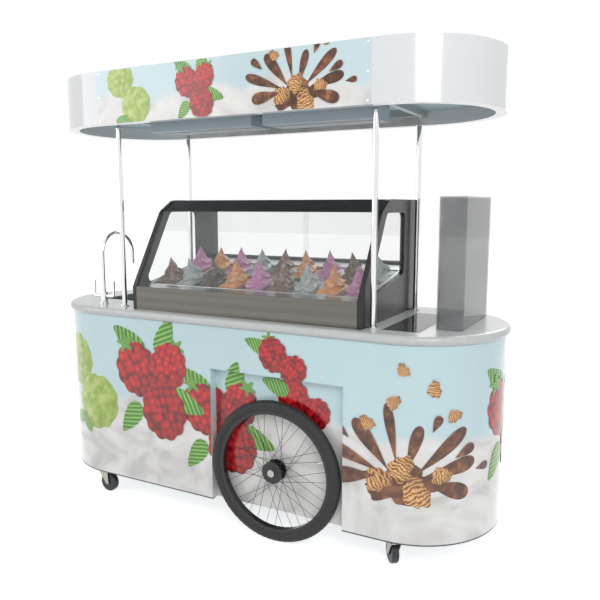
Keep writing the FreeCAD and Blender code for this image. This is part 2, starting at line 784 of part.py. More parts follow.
def clearCabinet():
    def shell(name, room, zSpan):
        body = bodyOf(name)
        x = (f"cabinetLeft + ({room})", f"cabinetRight - ({room})")
        y = (f"cabinetFront + ({room})", f"cabinetRear - ({room})")
        outline = polygonSketch(body, name + "Outline", "XY",
                                [(x[0], y[0]), (x[1], y[0]), (x[1], y[1]), (x[0], y[1])])
        slab = pad(body, name + "Pad", outline, f"({zSpan[1]}) - ({zSpan[0]})")
        roundEdges(body, name + "Corners", slab, cornerEdges(slab, outline),
                   f"cabinetRadius - ({room})")
        return bind(body, baseZ=zSpan[0])
    outer = shell("CabinetOuter", "0", (counterTop, f"{counterTop} + cabinetHeight"))
    inner = shell("CabinetInner", "cabinetWall", (f"{counterTop} - 1",
                                                  f"{counterTop} + cabinetHeight - cabinetWall"))
    node(cut("ClearCabinet", outer, inner), "clear_cabinet")


def cooler():
    floor = "bodyBottom + floorThickness"
    node(block("CoolingUnit", ("coolerLeft", "coolerRight"), ("-coolerHalfDepth", "coolerHalfDepth"),
               (floor, f"{floor} + coolerHeight")), "cooling_unit")


# ---- display


windowTop = f"({displayTop} - windowTopDrop)"
windowFoot = f"({knee} + 1)"
windowOutline = [
    ("windowFront", windowFoot),
    ("windowRear", f"{windowFoot} + (windowRear - windowFront) * tan(deckAngle * 1deg)"),
    ("windowRear", windowTop),
    ("windowShoulderY", windowTop),
]


def displaySides():
    for side, x in (("Left", "displayLeft"), ("Right", displayInnerRight)):
        body = bodyOf("DisplaySide" + side)
        outline = polygonSketch(body, f"Side{side}Outline", "YZ", [
            ("displayFront", counterTop),
            ("displayRear", counterTop),
            ("displayRear", displayTop),
            ("crestY", displayTop),
            ("bendY", f"{displayTop} - bendDrop"),
            ("displayFront", knee),
        ])
        plate = pad(body, f"Side{side}Plate", outline, "sideThickness")
        bends = cornerEdges(plate, outline, chosen=(3, 4))
        roundEdges(body, f"Side{side}Bends", plate, bends, "bendRadius")
        window = polygonSketch(body, f"Side{side}WindowOutline", "YZ", windowOutline)
        opened = pocket(body, f"Side{side}Window", window)
        roundEdges(body, f"Side{side}WindowCorners", opened, cornerEdges(opened, window), "windowRadius")
        node(bind(body, baseX=x), f"display_side_{side.lower()}")


def sideGlass():
    panes = []
    for side, x in (("Left", "displayLeft"), ("Right", displayInnerRight)):
        body = bodyOf("SidePane" + side)
        window = polygonSketch(body, f"Pane{side}Outline", "YZ", windowOutline)
        pane = pad(body, f"Pane{side}Sheet", window, "glassThickness")
        roundEdges(body, f"Pane{side}Corners", pane, cornerEdges(pane, window), "windowRadius")
        panes.append(bind(body, baseX=f"{x} + (sideThickness - glassThickness) / 2"))
    node(group("SideGlass", panes), "display_side_glass")


def profileBetweenSides(name, corners, label):
    # an outline across the display, carried from one side plate to the other
    body = bodyOf(name)
    outline = polygonSketch(body, name + "Outline", "YZ", corners)
    pad(body, name + "Pad", outline, f"{displayInnerRight} - {displayInnerLeft}")
    return node(bind(body, baseX=displayInnerLeft), label)


def displayFrontAndTop():
    node(block("DisplayFrontPanel", (displayInnerLeft, displayInnerRight),
               ("displayFront", "displayFront + frontPanelThickness"), (counterTop, knee)),
         "display_front_panel")
    # the slanted pane's thickness, measured along Y
    rise = f"({displayTop} - bendDrop - {knee})"
    slant = f"(glassThickness * sqrt(1 + ((bendY - displayFront) / {rise})^2))"
    inset = f"({slant} + bandThickness / 4)"
    bandBottom = f"({displayTop} - bendDrop)"
    profileBetweenSides("DisplayFrontGlass", [
        (f"displayFront + {inset} - {slant}", knee),
        (f"displayFront + {inset}", knee),
        (f"bendY + {inset}", bandBottom),
        (f"bendY + {inset} - {slant}", bandBottom),
    ], "display_front_glass")
    profileBetweenSides("DisplayTop", [
        (f"bendY + {inset} - {slant}", bandBottom),
        (f"bendY + {inset} + bandThickness / 2", bandBottom),
        (f"crestY + bandThickness / 4", f"{displayTop} - bandThickness"),
        ("displayRear", f"{displayTop} - bandThickness"),
        ("displayRear", f"{displayTop} - 1"),
        ("crestY + bandThickness / 4", f"{displayTop} - 1"),
    ], "display_top")


def displayRearFrame():
    inner = (displayInnerLeft, displayInnerRight)
    railTop = f"({counterTop} + sillTop)"
    railFront = "(displayRear - railDepth)"
    bandBottom = f"({displayTop} - bandThickness)"
    solid = fuse("RearFrameSolid", [
        block("RearSheet", inner, ("displayRear - rearSheet", "displayRear"), (counterTop, railTop)),
        block("RearSill", inner, (railFront, "displayRear"), (f"{railTop} - railHeight", railTop)),
        block("RearStile", inner, ("displayRear - 4", "displayRear"), (railTop, f"{railTop} + 3")),
    ])
    header = block("RearHeader", inner, (railFront, "displayRear"),
                   (f"{bandBottom} - topRailHeight", bandBottom))
    grooves = []
    for name, y in slideRuns().items():
        ySpan = (f"{y} - grooveRoom", f"{y} + glassThickness + grooveRoom")
        grooves.append(block("GrooveLow" + name, inner, ySpan, (f"{railTop} - grooveDepth", "reach")))
        grooves.append(block("GrooveHigh" + name, inner, ySpan,
                             (f"{bandBottom} - topRailHeight", f"{bandBottom} - slideRest")))
    lower = cut("RearFrameLower", solid, grooves[0], grooves[2])
    upper = cut("RearFrameUpper", header, grooves[1], grooves[3])
    node(lower, "display_rear_frame")
    node(upper, "display_rear_header")


def slideRuns():
    # where each sliding pane's front face runs
    front = "(displayRear - railDepth + slideInset)"
    return {"Inner": front, "Outer": f"({front} + slideSpacing)"}


def slidingDoors():
    railTop = f"({counterTop} + sillTop)"
    bandBottom = f"({displayTop} - bandThickness)"
    middle = f"(({displayInnerLeft} + {displayInnerRight}) / 2)"
    runs = slideRuns()
    zSpan = (f"{railTop} - grooveDepth + slideRest", f"{bandBottom} - 2 * slideRest - grooveRoom")
    spans = {
        "Left": (runs["Inner"], (f"{displayInnerLeft} + slideEndGap", f"{middle} + slideOverlap / 2")),
        "Right": (runs["Outer"], (f"{middle} - slideOverlap / 2", f"{displayInnerRight} - slideEndGap")),
    }
    for side, (y, xSpan) in spans.items():
        node(block("SlidingDoor" + side, xSpan, (y, f"{y} + glassThickness"), zSpan),
             "display_door_" + side.lower())


def onDeck(piece):
    # from the deck's own frame, with Y up the slope, to its place behind the front panel
    piece.Placement.Rotation = FreeCAD.Rotation(FreeCAD.Vector(1, 0, 0), 1)
    piece.setExpression("Placement.Rotation.Angle", formula("deckAngle"))
    return bind(piece, baseX=f"({displayInnerLeft} + {displayInnerRight}) / 2",
                baseY="displayFront + frontPanelThickness + deckEndGap", baseZ=f"{knee} - deckFrontDrop")


def deck():
    half = f"(({displayInnerRight} - {displayInnerLeft}) / 2)"
    depth = "(displayRear - railDepth - displayFront - frontPanelThickness - 3 * deckEndGap)"
    run = f"({depth} / cos(deckAngle * 1deg))"
    plate = block("DeckPlate", (f"-{half}", half), ("0", run), ("-deckThickness", "0"))
    slots = []
    for row in range(2):
        start = f"(panFirst + {row} * (panLength + panRowGap) + panRimWidth - slotRoom)"
        reachX = "(panColumns * panPitch / 2 - panRimWidth)"
        slots.append(block(f"DeckSlot{row}", (f"-{reachX}", reachX),
                           (start, f"{start} + panLength - 2 * (panRimWidth - slotRoom)"), ("-reach", "reach")))
    node(onDeck(cut("Deck", plate, *slots)), "display_deck")


def patternOverDeck(body, name, features):
    grid = body.newObject("PartDesign::LinearPattern", name)
    grid.Originals = features
    grid.Direction = (originFeature(body, "X_Axis"), [""])
    grid.Direction2 = (originFeature(body, "Y_Axis"), [""])
    bind(grid, Length="(panColumns - 1) * panPitch", Occurrences="panColumns")
    bind(grid, Length2="(panRows - 1) * (panLength + panRowGap)", Occurrences2="panRows")
    body.Tip = grid
    return grid


def pansAndIceCream():
    left = "(-panColumns * panPitch / 2 + panGap / 2)"
    width = "(panPitch - panGap)"
    inset = "panRimWidth"
    pans = bodyOf("Pans")
    rim = primitive(pans, "AdditiveBox", "PanRim", baseX=left, baseY="panFirst", baseZ=0,
                    Length=width, Width="panLength", Height="panRimHeight")
    shell = primitive(pans, "AdditiveBox", "PanShell", baseX=f"{left} + {inset}",
                      baseY=f"panFirst + {inset}", baseZ="-panDepth", Length=f"{width} - 2 * {inset}",
                      Width=f"panLength - 2 * {inset}", Height="panDepth")
    hollowInset = f"({inset} + panWall)"
    hollow = primitive(pans, "SubtractiveBox", "PanHollow", baseX=f"{left} + {hollowInset}",
                       baseY=f"panFirst + {hollowInset}", baseZ="panWall - panDepth",
                       Length=f"{width} - 2 * {hollowInset}", Width=f"panLength - 2 * {hollowInset}",
                       Height="panDepth + panRimHeight")
    patternOverDeck(pans, "PanGrid", [rim, shell, hollow])
    node(onDeck(pans), "ice_cream_pans")

    # one filling with its mound in each pan, told apart by column and row
    fillInset = f"({hollowInset} + iceGap)"
    fillings = []
    for row in range(int(sheet.panRows)):
        for column in range(int(sheet.panColumns)):
            name = f"Ice{row}{column}"
            x = f"({left} + {column} * panPitch + {fillInset})"
            y = f"(panFirst + {row} * (panLength + panRowGap) + {fillInset})"
            across = f"({width} - 2 * {fillInset})"
            along = f"(panLength - 2 * {fillInset})"
            fill = block(name + "Fill", (x, f"{x} + {across}"), (y, f"{y} + {along}"),
                         ("panWall + iceGap - panDepth", "0"))
            # the wedge grows along its own Y, so it is turned to grow upwards
            mound = doc.addObject("Part::Wedge", name + "Mound")
            mound.Placement.Rotation = FreeCAD.Rotation(FreeCAD.Vector(1, 0, 0), 90)
            bind(mound, baseX=x, baseY=f"{y} + {along}", baseZ=0)
            bind(mound, Xmin=0, Ymin=0, Zmin=0, Xmax=across, Ymax="moundHeight", Zmax=along)
            bind(mound, X2min=f"({across} - moundTop) / 2", X2max=f"({across} + moundTop) / 2")
            bind(mound, Z2min=f"{along} / 2 - moundTop", Z2max=f"{along} / 2 + moundTop")
            fillings.append(fuse(name, [fill, mound]))
    ice = group("IceCream", fillings)
    node(onDeck(ice), "ice_cream")


# ---- posts and canopy


def postsAndFrame():
    spigotTop = "(ceilingUnderside - frameTube)"
    postTop = f"({spigotTop} - collarDrop)"
    posts = []
    for signX in ("-", ""):
        for signY in ("-", ""):
            name = f"Post{'Left' if signX else 'Right'}{'Front' if signY else 'Rear'}"
            spot = (f"{signX}postX", f"{signY}postY")
            posts.append(fuse(name, [
                rod(name + "Foot", "z", (*spot, counterTop), "postFootRadius", "postFootHeight"),
                rod(name + "Tube", "z", (*spot, counterTop), "postRadius", f"{postTop} - {counterTop}"),
                rod(name + "Collar", "z", (*spot, f"{postTop} - collarHeight"), "collarRadius", "collarHeight"),
                rod(name + "Spigot", "z", (*spot, postTop), "spigotRadius", "collarDrop"),
            ]))
    node(group("Posts", posts), "canopy_posts")
    zSpan = (spigotTop, "ceilingUnderside")
    beams = []
    for name, sign in (("Low", -1), ("High", 1)):
        x = f"({sign}) * postX"
        y = f"({sign}) * postY"
        inside = "(canopyRadius - canopyRim)"
        beams.append(block("CrossBeam" + name, (f"{x} - frameTube / 2", f"{x} + frameTube / 2"),
                           (f"-{inside}", inside), zSpan))
        beams.append(block("LongBeam" + name, ("-postX", "postX"),
                           (f"{y} - frameTube / 2", f"{y} + frameTube / 2"), zSpan))
    node(fuse("CanopyFrame", beams), "canopy_frame")


def canopy():
    half = "canopyStraightHalf"
    skinInside = "(canopyRadius - canopySkin)"
    rimSpan = ("canopyBottom", "ceilingUnderside")
    ring = cut("CanopyRing",
               stadium("CanopyOuter", half, "canopyRadius", ("canopyBottom", "canopyTop")),
               stadium("CanopyMouth", half, "canopyRadius - canopyRim", rimSpan),
               stadium("CanopyHollow", half, skinInside, ("ceilingUnderside", "canopyTop")))
    for side, xSpan in (("left", ("-reach", "-fasciaHalf")), ("right", ("fasciaHalf", "reach"))):
        region = block("CanopyRegion" + side.title(), xSpan, ("-reach", "reach"), ("0", "reach"))
        node(common("CanopyEnd" + side.title(), [ring, region]), "canopy_end_" + side)
    fascia = fuse("FasciaFront", [
        block("FasciaRim", ("-fasciaHalf", "fasciaHalf"), ("-canopyRadius", "canopyRim - canopyRadius"), rimSpan),
        block("FasciaSkin", ("-fasciaHalf", "fasciaHalf"), ("-canopyRadius", "canopySkin - canopyRadius"),
              ("ceilingUnderside", "canopyTop")),
    ])
    node(fascia, "canopy_fascia_front")
    node(mirrored("FasciaRear", fascia, (0, 1, 0)), "canopy_fascia_rear")
    node(stadium("Ceiling", half, skinInside, ("ceilingUnderside", "ceilingUnderside + sheetThickness")),
         "canopy_ceiling")
    node(stadium("Roof", half, skinInside, ("canopyTop - sheetThickness", "canopyTop")), "canopy_roof")


def lampBoxes():
    zSpan = ("ceilingUnderside - lampDepth", "ceilingUnderside")
    ySpan = ("lampFront", "lampRear")
    boxes = [block("LampLeft", ("lampLeftStart", "lampLeftEnd"), ySpan, zSpan),
             block("LampRight", ("lampRightStart", "lampRightEnd"), ySpan, zSpan)]
    node(group("Lamps", boxes), "lamp_boxes")


bodyWalls()
bays()
wheels()
casters()
storageDoors()
counter()
sink()
tap()
clearCabinet()
cooler()
displaySides()
sideGlass()
displayFrontAndTop()
displayRearFrame()
slidingDoors()
deck()
pansAndIceCream()
postsAndFrame()
canopy()
lampBoxes()
doc.recompute()

for thing in doc.Objects:
    if "Invalid" in thing.State or "Error" in thing.State:
        raise RuntimeError(f"{thing.Label}: {thing.State}")
labels = [piece.Label for piece in nodes]
if len(set(labels)) != len(labels):
    raise RuntimeError("two sub-parts share a label")
os.makedirs("parts", exist_ok=True)
for piece in nodes:
    if piece.Shape.isNull() or not piece.Shape.isValid() or not piece.Shape.Solids:
        raise RuntimeError(f"{piece.Label}: bad shape")
for piece in nodes:
    piece.Shape.exportStep(f"parts/{piece.Label}.step")
    print(f"{piece.Label}: {len(piece.Shape.Solids)} solids, {piece.Shape.Volume / 1e6:.3f} litres")
print(f"{len(nodes)} sub-parts")
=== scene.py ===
import bpy
import math
import numpy as np
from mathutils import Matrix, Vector


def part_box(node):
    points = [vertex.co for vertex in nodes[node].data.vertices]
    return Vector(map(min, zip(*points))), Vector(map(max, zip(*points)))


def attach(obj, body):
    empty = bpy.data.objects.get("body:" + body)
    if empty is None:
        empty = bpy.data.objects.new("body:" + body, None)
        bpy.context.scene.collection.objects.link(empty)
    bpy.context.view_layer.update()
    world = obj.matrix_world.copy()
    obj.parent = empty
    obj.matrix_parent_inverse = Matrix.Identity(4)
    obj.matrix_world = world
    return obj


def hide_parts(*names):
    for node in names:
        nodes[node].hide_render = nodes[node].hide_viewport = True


# An ice cream cart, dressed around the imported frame. All lengths are in metres.

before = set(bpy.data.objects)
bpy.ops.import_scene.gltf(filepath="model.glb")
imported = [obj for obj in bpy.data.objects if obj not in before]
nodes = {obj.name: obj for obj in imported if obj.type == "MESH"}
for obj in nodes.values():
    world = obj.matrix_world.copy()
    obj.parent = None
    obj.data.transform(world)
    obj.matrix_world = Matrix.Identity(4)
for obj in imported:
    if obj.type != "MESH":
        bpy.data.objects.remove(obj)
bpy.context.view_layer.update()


# Shader helper: a wrapped socket that does maths.

class Val:
    # a socket that can be added to, taken from and multiplied by numbers and other sockets
    def __init__(self, tree, socket):
        self.tree = tree
        self.socket = socket

    def calc(self, operation, *others):
        # one Math node with this value first
        values = [self, *others]
        return self.tree.add("ShaderNodeMath", {"operation": operation}, dict(enumerate(values)))

    def __add__(self, other):
        return self.calc("ADD", other)

    def __sub__(self, other):
        return self.calc("SUBTRACT", other)

    def __mul__(self, other):
        return self.calc("MULTIPLY", other)

    def __rsub__(self, other):
        return self.tree.add("ShaderNodeMath", {"operation": "SUBTRACT"}, {0: other, 1: self})

    __radd__ = __add__
    __rmul__ = __mul__


class Tree:
    # a node tree and its end shader, whose sockets are fed by name
    def __init__(self, tree, end):
        self.nodes = tree.nodes
        self.links = tree.links
        self.end = tree.nodes[end]

    def add(self, kind, settings=None, inputs=None, output=0):
        # any node: its type, its settings, and its inputs as numbers or linked values
        made = self.nodes.new(kind)
        for key, value in (settings or {}).items():
            if key == "stops":
                self.setStops(made.color_ramp, value)
            else:
                setattr(made, key, value)
        for key, value in (inputs or {}).items():
            if isinstance(value, Val):
                self.links.new(value.socket, made.inputs[key])
            else:
                made.inputs[key].default_value = value
        return Val(self, made.outputs[output])

    def setStops(self, ramp, stops):
        # colour stops as (position, colour) pairs
        while len(ramp.elements) < len(stops):
            ramp.elements.new(1.0)
        for element, (place, color) in zip(ramp.elements, stops):
            element.position = place
            element.color = (*color, 1.0)

    def coords(self, scale=(1, 1, 1)):
        # the place in metres, times a scale along each axis
        source = self.add("ShaderNodeTexCoord", output="Object")
        return self.add("ShaderNodeMapping", {}, {"Vector": source, "Scale": scale})

    def noise(self, where, scale, detail=3.0):
        return self.add("ShaderNodeTexNoise", {}, {"Vector": where, "Scale": scale, "Detail": detail})

    def ramp(self, value, stops):
        return self.add("ShaderNodeValToRGB", {"stops": stops}, {"Fac": value})

    def mask(self, value, low, high):
        # 0 below low, 1 above high, smooth between
        return self.add("ShaderNodeMapRange", {"interpolation_type": "SMOOTHSTEP"},
                        {"Value": value, "From Min": low, "From Max": high})

    def mix(self, share, first, second):
        # first where share is 0, second where it is 1
        colors = {6: first, 7: second}
        inputs = {number: color if isinstance(color, Val) else (*color, 1.0)
                  for number, color in colors.items()}
        return self.add("ShaderNodeMix", {"data_type": "RGBA"}, {0: share, **inputs}, output=2)

    def feed(self, socket, value):
        self.links.new(value.socket, self.end.inputs[socket])

    def seenDirectly(self):
        # 1 for rays from the camera, off a mirror or through glass, else 0
        rays = self.add("ShaderNodeLightPath")
        outputs = rays.socket.node.outputs
        glossy, through = Val(self, outputs["Is Glossy Ray"]), Val(self, outputs["Is Transmission Ray"])
        return rays.calc("MAXIMUM", glossy).calc("MAXIMUM", through)


class Shader(Tree):
    # one material, with the fixed sockets of its Principled shader set by name
    def __init__(self, name, **settings):
        self.material = bpy.data.materials.new(name)
        self.material.use_nodes = True
        super().__init__(self.material.node_tree, "Principled BSDF")
        for socket, value in settings.items():
            self.end.inputs[socket].default_value = value

    def bump(self, height, strength, distance=0.001):
        # the surface's relief; gives back the finished material
        normal = self.add("ShaderNodeBump", {}, {"Height": height, "Strength": strength,
                                                 "Distance": distance})
        self.feed("Normal", normal)
        return self.material


def setMaterial(target, material):
    # the object's one slot gets this material
    target.data.materials.clear()
    target.data.materials.append(material)


# Finishes.

def plainFinish(name, color, roughness, metallic=0.0, grain=120.0, stretch=(1, 1, 1), variation=0.08,
                bumpHeight=0.0003, **fixed):
    # a base colour with slight cloudy variation, uneven gloss and a fine surface grain
    shader = Shader(name, Metallic=metallic, **fixed)
    where = shader.coords(stretch)
    cloud = shader.noise(where, grain / 20, 4.0)
    fine = shader.noise(where, grain, 3.0)
    darker = tuple(c * (1 - variation) for c in color)
    lighter = tuple(min(1, c * (1 + variation)) for c in color)
    shader.feed("Base Color", shader.ramp(cloud, [(0.3, darker), (0.7, lighter)]))
    shader.feed("Roughness", fine * 0.12 + (roughness - 0.06))
    return shader.bump(fine, 0.3, bumpHeight)


def brushed(name, color, roughness):
    # metal with fine drawn lines along X
    return plainFinish(name, color, roughness, metallic=1.0, grain=2.0, stretch=(4, 400, 400),
                       variation=0.12, bumpHeight=0.0001)


def clear(name, tint, alpha, coat=1.0):
    # a thin pane: mostly see-through, with its gloss kept
    shader = Shader(name, Alpha=alpha, **{"Coat Weight": coat, "Coat Roughness": 0.02})
    where = shader.coords()
    smear = shader.noise(where, 5.0, 3.0)
    shader.feed("Base Color", shader.ramp(smear, [(0.3, tint), (0.7, tuple(c * 0.92 for c in tint))]))
    shader.feed("Roughness", smear * 0.04 + 0.03)
    shader.feed("Alpha", shader.mask(smear, 0.2, 0.9) * (alpha * 0.25) + alpha * 0.85)
    return shader.material


look = {
    "white": plainFinish("glossWhite", (0.80, 0.825, 0.84), 0.16, variation=0.015, grain=60,
                         bumpHeight=0.00005, **{"Coat Weight": 0.6}),
    "counter": plainFinish("counterStone", (0.60, 0.62, 0.62), 0.22, variation=0.04, grain=500,
                           bumpHeight=0.00002),
    "trim": plainFinish("darkTrim", (0.07, 0.08, 0.08), 0.4),
    "inner": plainFinish("ceilingPaint", (0.42, 0.56, 0.60), 0.45, variation=0.03),
    "chrome": plainFinish("chrome", (0.82, 0.83, 0.84), 0.07, metallic=1.0, variation=0.02,
                          bumpHeight=0.00002),
    "frameSteel": plainFinish("frameSteel", (0.45, 0.5, 0.52), 0.4, metallic=0.3),
    "lamp": plainFinish("lampWhite", (0.50, 0.60, 0.66), 0.5, variation=0.03),
    "black": plainFinish("displayBlack", (0.012, 0.012, 0.011), 0.3, variation=0.2,
                         bumpHeight=0.0001),
    "graphite": brushed("graphiteSteel", (0.16, 0.155, 0.135), 0.3),
    "glass": clear("clearGlass", (0.70, 0.80, 0.78), 0.075),
    "smoke": clear("smokeAcrylic", (0.07, 0.085, 0.09), 0.42, coat=0.4),
    "blackGlass": plainFinish("blackGlass", (0.03, 0.033, 0.035), 0.08, variation=0.1,
                              bumpHeight=0.00001),
    "stainless": brushed("stainless", (0.55, 0.56, 0.56), 0.3),
    "tyre": plainFinish("tyreRubber", (0.018, 0.018, 0.019), 0.62, grain=400, variation=0.2),
    "wheelBlack": plainFinish("wheelBlack", (0.014, 0.014, 0.015), 0.22, variation=0.2),
    "zinc": plainFinish("casterZinc", (0.42, 0.42, 0.38), 0.34, metallic=0.9, variation=0.12),
    "casterRubber": plainFinish("casterRubber", (0.02, 0.021, 0.028), 0.4, variation=0.25),
    "unit": plainFinish("unitGrey", (0.12, 0.12, 0.13), 0.5),
}

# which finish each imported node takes
finishOf = {
    "white": ["canopy_end_left", "canopy_end_right", "canopy_roof"],
    "counter": ["countertop"],
    "trim": ["base_trim"],
    "inner": ["body_floor", "canopy_ceiling"],
    "chrome": ["canopy_posts", "tap_base", "tap_spout"],
    "frameSteel": ["canopy_frame"],
    "lamp": ["lamp_boxes"],
    "black": ["display_side_left", "display_side_right", "display_top", "display_rear_frame",
              "display_rear_header"],
    "graphite": ["display_front_panel"],
    "glass": ["display_side_glass", "display_front_glass", "display_door_left", "display_door_right"],
    "smoke": ["clear_cabinet"],
    "blackGlass": ["counter_glass_panel"],
    "stainless": ["display_deck", "ice_cream_pans", "sink_bowl"],
    "tyre": ["tyre_front", "tyre_rear"],
    "wheelBlack": ["spoked_wheel_front", "spoked_wheel_rear"],
    "zinc": ["wheel_axles", "caster_plates"] + [n for n in nodes if n.startswith("caster_fork")],
    "casterRubber": [n for n in nodes if n.startswith("caster_wheel")],
    "unit": ["cooling_unit"],
}
for finish, names in finishOf.items():
    for name in names:
        setMaterial(nodes[name], look[finish])
print("finishes")


# Printed film on the body and the fascias.

milk = {"swell": 0.34, "softness": 0.03, "cream": (0.80, 0.79, 0.775), "light": (0.90, 0.90, 0.89)}
films = {
    "bodyFilm": {"waveHeight": 0.56, "waveSize": 3.0, "sky": (0.56, 0.74, 0.78),
                 "nodes": ("body_end", "front_panel", "rear_panel", "storage_door", "wheel_bay")},
    "fasciaFilm": {"waveHeight": 2.03, "waveSize": 3.2, "sky": (0.60, 0.75, 0.79),
                   "nodes": ("canopy_fascia",)},
}


def milkFilm(name, waveHeight, waveSize, sky):
    # pale aqua above, creamy milk below, with a wavy edge and soft folds in the milk
    shader = Shader(name, **{"Coat Weight": 0.5, "Coat Roughness": 0.08})
    where = shader.coords()
    height = shader.add("ShaderNodeSeparateXYZ", {}, {"Vector": where}, output=2)
    wave = shader.noise(shader.coords((1, 1, 0.35)), waveSize, 2.0)
    edge = height - (wave - 0.5) * milk["swell"]
    below = 1 - shader.mask(edge, waveHeight - milk["softness"], waveHeight + milk["softness"])
    folds = shader.add("ShaderNodeTexNoise", {}, {"Vector": shader.coords((1, 1, 1.6)), "Scale": 2.6,
                                                 "Detail": 1.0, "Distortion": 2.6})
    creamTone = shader.ramp(folds, [(0.3, tuple(c * 0.80 for c in milk["cream"])), (0.48, milk["cream"]),
                                    (0.7, milk["light"])])
    paler = tuple(min(1, c * 1.1) for c in sky)
    skyTone = shader.ramp(shader.noise(where, 1.3), [(0.3, sky), (0.7, paler)])
    shader.feed("Base Color", shader.mix(below, skyTone, creamTone))
    shader.feed("Roughness", shader.noise(where, 300.0) * 0.08 + 0.16)
    return shader.bump(folds, 0.03)


for filmName, settings in films.items():
    printed = milkFilm(filmName, settings["waveHeight"], settings["waveSize"], settings["sky"])
    for name in nodes:
        if name.startswith(settings["nodes"]):
            setMaterial(nodes[name], printed)
print("films")


# Mesh helpers.

def gridFaces(rows, columns, closedRows=False):
    # quads between neighbouring rows; the columns always close into a loop
    row, column = np.meshgrid(np.arange(rows if closedRows else rows - 1), np.arange(columns),
                              indexing="ij")
    below, above = row * columns, (row + 1) % rows * columns
    after = (column + 1) % columns
    return np.stack([below + column, below + after, above + after, above + column], -1).reshape(-1, 4)


def makeMesh(name, points, corners, material, attribute=None):
    # a smooth mesh from a point array and lists of corners, with an optional vector for each point
    mesh = bpy.data.meshes.new(name)
    mesh.from_pydata(points.tolist(), [], corners)
    if attribute is not None:
        layer = mesh.attributes.new("print", "FLOAT_VECTOR", "POINT")
        layer.data.foreach_set("vector", attribute.ravel())
    mesh.polygons.foreach_set("use_smooth", np.ones(len(mesh.polygons), dtype=bool))
    mesh.materials.append(material)
    made = bpy.data.objects.new(name, mesh)
    bpy.context.collection.objects.link(made)
    return made


def closedRings(name, solids, material):
    # each solid is an array of rings (rows, columns, 3) from its bottom up, closed by a point at each end
    points, faces, fans, start = [], [], [], 0
    for rings in solids:
        rows, columns = rings.shape[:2]
        ends = np.stack([rings[0].mean(0), rings[-1].mean(0)])
        points.append(np.concatenate([rings.reshape(-1, 3), ends]))
        faces.append(gridFaces(rows, columns) + start)
        around = np.arange(columns)
        after = (around + 1) % columns
        low, top = start + rows * columns, start + (rows - 1) * columns
        fans.append(np.stack([np.full(columns, low), start + after, start + around], -1))
        fans.append(np.stack([np.full(columns, low + 1), top + around, top + after], -1))
        start += rows * columns + 2
    corners = np.concatenate(faces).tolist() + np.concatenate(fans).tolist()
    return makeMesh(name, np.concatenate(points), corners, material)


# Ice cream: one swirled, peaked mound in each pan.

creamLook = {
    "berry": {"color": (0.62, 0.25, 0.48), "flavor": "pink"},
    "cocoa": {"color": (0.085, 0.045, 0.035), "flavor": "darkBrown"},
    "toffee": {"color": (0.74, 0.33, 0.11), "flavor": "caramel"},
    "mint": {"color": (0.42, 0.46, 0.46), "flavor": "mintGrey"},
    "nougat": {"color": (0.24, 0.13, 0.09), "flavor": "brown"},
}
panRows = {
    "front": {"place": 0.202, "fill": "nougat mint cocoa toffee berry nougat mint toffee berry"},
    "back": {"place": 0.446, "fill": "berry toffee berry mint nougat toffee berry nougat mint"},
}
mound = {"half": (0.0555, 0.111), "bottom": -0.045, "foot": -0.012, "peak": 0.128, "lean": 0.018,
         "squareness": 6, "ridges": 5, "ridge": 0.016, "ridgeCut": 0.30, "turn": (3.5, 5.5), "tiers": 3,
         "tier": 0.17, "narrowing": 0.35, "columns": 96, "rings": 44, "last": 0.985}
deckFrame = {"corner": (0.046, -0.3405, 1.1165), "tilt": math.radians(9.6), "pitch": 0.131}


def creamMaterial(name, color):
    # the flavour's colour, streaked darker and paler, with a fine crystalline bump
    shader = Shader(name, **{"Subsurface Weight": 0.15, "Subsurface Radius": (0.01, 0.006, 0.004)})
    where = shader.coords((1, 1, 2))
    streak = shader.noise(where, 26.0, 4.0)
    shader.feed("Base Color", shader.ramp(streak, [(0.3, tuple(c * 0.72 for c in color)),
                                                  (0.55, color),
                                                  (0.75, tuple(c * 0.6 + 0.4 * 0.9 for c in color))]))
    shader.feed("Roughness", shader.noise(where, 90.0) * 0.2 + 0.32)
    return shader.bump(shader.noise(where, 160.0, 4.0), 0.4, 0.0012)


